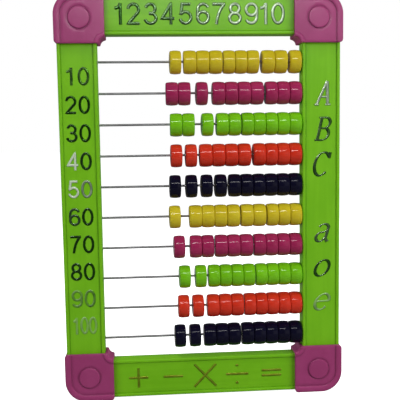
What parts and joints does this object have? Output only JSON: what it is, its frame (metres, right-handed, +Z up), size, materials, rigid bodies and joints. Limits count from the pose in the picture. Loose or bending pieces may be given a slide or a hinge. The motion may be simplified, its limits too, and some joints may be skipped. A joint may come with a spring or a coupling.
{
  "type": "abacus",
  "caption": "Upright counting frame of hollow rails and rounded corner caps, with straight wires on which runs of beads slide sideways.",
  "frame": {"origin": "middle of the footprint, on the surface that the two lower corner caps stand on", "axes": "+X to the right along the wires, +Y out of the back, +Z up"},
  "size_m": [0.2, 0.017, 0.286],
  "materials": {
    "rail_green": "semi-gloss extruded plastic, leaf green",
    "cap_plum": "satin moulded plastic, plum",
    "wire_steel": "bright drawn steel wire",
    "bead_yellow": "glossy",
    "bead_magenta": "glossy",
    "bead_green": "glossy",
    "bead_red": "glossy",
    "bead_black": "glossy, very dark blue"
  },
  "bodies": {
    "frame": {"left_rail": "rail_green", "right_rail": "rail_green", "bottom_rail": "rail_green", "top_rail": "rail_green", "cap_bottom_left": "cap_plum", "cap_top_left": "cap_plum", "cap_top_right": "cap_plum", "cap_bottom_right": "cap_plum", "wire_1": "wire_steel", "wire_2": "wire_steel", "wire_3": "wire_steel", "wire_4": "wire_steel", "wire_5": "wire_steel", "wire_6": "wire_steel", "wire_7": "wire_steel", "wire_8": "wire_steel", "wire_9": "wire_steel", "wire_10": "wire_steel"},
    "row_1_beads_1": {"row_1_beads_1": "bead_yellow"},
    "row_1_beads_2": {"row_1_beads_2": "bead_yellow"},
    "row_1_beads_3": {"row_1_beads_3": "bead_yellow"},
    "row_1_beads_4": {"row_1_beads_4": "bead_yellow"},
    "row_1_beads_5": {"row_1_beads_5": "bead_yellow"},
    "row_2_beads_1": {"row_2_beads_1": "bead_magenta"},
    "row_2_beads_2": {"row_2_beads_2": "bead_magenta"},
    "row_2_beads_3": {"row_2_beads_3": "bead_magenta"},
    "row_2_beads_4": {"row_2_beads_4": "bead_magenta"},
    "row_3_beads_1": {"row_3_beads_1": "bead_green"},
    "row_3_beads_2": {"row_3_beads_2": "bead_green"},
    "row_3_beads_3": {"row_3_beads_3": "bead_green"},
    "row_3_beads_4": {"row_3_beads_4": "bead_green"},
    "row_4_beads_1": {"row_4_beads_1": "bead_red"},
    "row_4_beads_2": {"row_4_beads_2": "bead_red"},
    "row_4_beads_3": {"row_4_beads_3": "bead_red"},
    "row_4_beads_4": {"row_4_beads_4": "bead_red"},
    "row_5_beads_1": {"row_5_beads_1": "bead_black"},
    "row_5_beads_2": {"row_5_beads_2": "bead_black"},
    "row_5_beads_3": {"row_5_beads_3": "bead_black"},
    "row_5_beads_4": {"row_5_beads_4": "bead_black"},
    "row_5_beads_5": {"row_5_beads_5": "bead_black"},
    "row_6_beads_1": {"row_6_beads_1": "bead_yellow"},
    "row_6_beads_2": {"row_6_beads_2": "bead_yellow"},
    "row_6_beads_3": {"row_6_beads_3": "bead_yellow"},
    "row_6_beads_4": {"row_6_beads_4": "bead_yellow"},
    "row_7_beads_1": {"row_7_beads_1": "bead_magenta"},
    "row_7_beads_2": {"row_7_beads_2": "bead_magenta"},
    "row_7_beads_3": {"row_7_beads_3": "bead_magenta"},
    "row_7_beads_4": {"row_7_beads_4": "bead_magenta"},
    "row_8_beads_1": {"row_8_beads_1": "bead_green"},
    "row_8_beads_2": {"row_8_beads_2": "bead_green"},
    "row_8_beads_3": {"row_8_beads_3": "bead_green"},
    "row_8_beads_4": {"row_8_beads_4": "bead_green"},
    "row_9_beads_1": {"row_9_beads_1": "bead_red"},
    "row_9_beads_2": {"row_9_beads_2": "bead_red"},
    "row_9_beads_3": {"row_9_beads_3": "bead_red"},
    "row_9_beads_4": {"row_9_beads_4": "bead_red"},
    "row_10_beads_1": {"row_10_beads_1": "bead_black"},
    "row_10_beads_2": {"row_10_beads_2": "bead_black"},
    "row_10_beads_3": {"row_10_beads_3": "bead_black"},
    "row_10_beads_4": {"row_10_beads_4": "bead_black"}
  },
  "joints": [
    {"name": "row_1_slide_5", "type": "slide", "parent": "frame", "child": "row_1_beads_5", "axis": [1, 0, 0], "range_m": [-0.00996, 0.00045]},
    {"name": "row_1_slide_4", "type": "slide", "parent": "row_1_beads_5", "child": "row_1_beads_4", "axis": [1, 0, 0], "range_m": [-0.00996, 0.00175]},
    {"name": "row_1_slide_3", "type": "slide", "parent": "row_1_beads_4", "child": "row_1_beads_3", "axis": [1, 0, 0], "range_m": [-0.00996, 0.00215]},
    {"name": "row_1_slide_2", "type": "slide", "parent": "row_1_beads_3", "child": "row_1_beads_2", "axis": [1, 0, 0], "range_m": [-0.00996, 0.00055]},
    {"name": "row_1_slide_1", "type": "slide", "parent": "row_1_beads_2", "child": "row_1_beads_1", "axis": [1, 0, 0], "range_m": [-0.00996, 0.00145]},
    {"name": "row_2_slide_4", "type": "slide", "parent": "frame", "child": "row_2_beads_4", "axis": [1, 0, 0], "range_m": [-0.01171, 0.00045]},
    {"name": "row_2_slide_3", "type": "slide", "parent": "row_2_beads_4", "child": "row_2_beads_3", "axis": [1, 0, 0], "range_m": [-0.01171, 0.00155]},
    {"name": "row_2_slide_2", "type": "slide", "parent": "row_2_beads_3", "child": "row_2_beads_2", "axis": [1, 0, 0], "range_m": [-0.01171, 0.00325]},
    {"name": "row_2_slide_1", "type": "slide", "parent": "row_2_beads_2", "child": "row_2_beads_1", "axis": [1, 0, 0], "range_m": [-0.01171, 0.00375]},
    {"name": "row_3_slide_4", "type": "slide", "parent": "frame", "child": "row_3_beads_4", "axis": [1, 0, 0], "range_m": [-0.01236, 0.00045]},
    {"name": "row_3_slide_3", "type": "slide", "parent": "row_3_beads_4", "child": "row_3_beads_3", "axis": [1, 0, 0], "range_m": [-0.01236, 0.00055]},
    {"name": "row_3_slide_2", "type": "slide", "parent": "row_3_beads_3", "child": "row_3_beads_2", "axis": [1, 0, 0], "range_m": [-0.01236, 0.00215]},
    {"name": "row_3_slide_1", "type": "slide", "parent": "row_3_beads_2", "child": "row_3_beads_1", "axis": [1, 0, 0], "range_m": [-0.01236, 0.00485]},
    {"name": "row_4_slide_4", "type": "slide", "parent": "frame", "child": "row_4_beads_4", "axis": [1, 0, 0], "range_m": [-0.01236, 0.00045]},
    {"name": "row_4_slide_3", "type": "slide", "parent": "row_4_beads_4", "child": "row_4_beads_3", "axis": [1, 0, 0], "range_m": [-0.01236, 0.00195]},
    {"name": "row_4_slide_2", "type": "slide", "parent": "row_4_beads_3", "child": "row_4_beads_2", "axis": [1, 0, 0], "range_m": [-0.01236, 0.00185]},
    {"name": "row_4_slide_1", "type": "slide", "parent": "row_4_beads_2", "child": "row_4_beads_1", "axis": [1, 0, 0], "range_m": [-0.01236, 0.00215]},
    {"name": "row_5_slide_5", "type": "slide", "parent": "frame", "child": "row_5_beads_5", "axis": [1, 0, 0], "range_m": [-0.00965, 0.00045]},
    {"name": "row_5_slide_4", "type": "slide", "parent": "row_5_beads_5", "child": "row_5_beads_4", "axis": [1, 0, 0], "range_m": [-0.00965, 0.00155]},
    {"name": "row_5_slide_3", "type": "slide", "parent": "row_5_beads_4", "child": "row_5_beads_3", "axis": [1, 0, 0], "range_m": [-0.00965, 0.00175]},
    {"name": "row_5_slide_2", "type": "slide", "parent": "row_5_beads_3", "child": "row_5_beads_2", "axis": [1, 0, 0], "range_m": [-0.00965, 0.00265]},
    {"name": "row_5_slide_1", "type": "slide", "parent": "row_5_beads_2", "child": "row_5_beads_1", "axis": [1, 0, 0], "range_m": [-0.00965, 0.00325]},
    {"name": "row_6_slide_4", "type": "slide", "parent": "frame", "child": "row_6_beads_4", "axis": [1, 0, 0], "range_m": [-0.01191, 0.00045]},
    {"name": "row_6_slide_3", "type": "slide", "parent": "row_6_beads_4", "child": "row_6_beads_3", "axis": [1, 0, 0], "range_m": [-0.01191, 0.00075]},
    {"name": "row_6_slide_2", "type": "slide", "parent": "row_6_beads_3", "child": "row_6_beads_2", "axis": [1, 0, 0], "range_m": [-0.01191, 0.00075]},
    {"name": "row_6_slide_1", "type": "slide", "parent": "row_6_beads_2", "child": "row_6_beads_1", "axis": [1, 0, 0], "range_m": [-0.01191, 0.00605]},
    {"name": "row_7_slide_4", "type": "slide", "parent": "frame", "child": "row_7_beads_4", "axis": [1, 0, 0], "range_m": [-0.01258, 0.00045]},
    {"name": "row_7_slide_3", "type": "slide", "parent": "row_7_beads_4", "child": "row_7_beads_3", "axis": [1, 0, 0], "range_m": [-0.01258, 0.00075]},
    {"name": "row_7_slide_2", "type": "slide", "parent": "row_7_beads_3", "child": "row_7_beads_2", "axis": [1, 0, 0], "range_m": [-0.01258, 0.00075]},
    {"name": "row_7_slide_1", "type": "slide", "parent": "row_7_beads_2", "child": "row_7_beads_1", "axis": [1, 0, 0], "range_m": [-0.01258, 0.00345]},
    {"name": "row_8_slide_4", "type": "slide", "parent": "frame", "child": "row_8_beads_4", "axis": [1, 0, 0], "range_m": [-0.01348, 0.00045]},
    {"name": "row_8_slide_3", "type": "slide", "parent": "row_8_beads_4", "child": "row_8_beads_3", "axis": [1, 0, 0], "range_m": [-0.01348, 0.00055]},
    {"name": "row_8_slide_2", "type": "slide", "parent": "row_8_beads_3", "child": "row_8_beads_2", "axis": [1, 0, 0], "range_m": [-0.01348, 0.00125]},
    {"name": "row_8_slide_1", "type": "slide", "parent": "row_8_beads_2", "child": "row_8_beads_1", "axis": [1, 0, 0], "range_m": [-0.01348, 0.00325]},
    {"name": "row_9_slide_4", "type": "slide", "parent": "frame", "child": "row_9_beads_4", "axis": [1, 0, 0], "range_m": [-0.01321, 0.00045]},
    {"name": "row_9_slide_3", "type": "slide", "parent": "row_9_beads_4", "child": "row_9_beads_3", "axis": [1, 0, 0], "range_m": [-0.01321, 0.00055]},
    {"name": "row_9_slide_2", "type": "slide", "parent": "row_9_beads_3", "child": "row_9_beads_2", "axis": [1, 0, 0], "range_m": [-0.01321, 0.00235]},
    {"name": "row_9_slide_1", "type": "slide", "parent": "row_9_beads_2", "child": "row_9_beads_1", "axis": [1, 0, 0], "range_m": [-0.01321, 0.00215]},
    {"name": "row_10_slide_4", "type": "slide", "parent": "frame", "child": "row_10_beads_4", "axis": [1, 0, 0], "range_m": [-0.01248, 0.00045]},
    {"name": "row_10_slide_3", "type": "slide", "parent": "row_10_beads_4", "child": "row_10_beads_3", "axis": [1, 0, 0], "range_m": [-0.01248, 0.00095]},
    {"name": "row_10_slide_2", "type": "slide", "parent": "row_10_beads_3", "child": "row_10_beads_2", "axis": [1, 0, 0], "range_m": [-0.01248, 0.00225]},
    {"name": "row_10_slide_1", "type": "slide", "parent": "row_10_beads_2", "child": "row_10_beads_1", "axis": [1, 0, 0], "range_m": [-0.01248, 0.00255]}
  ]
}
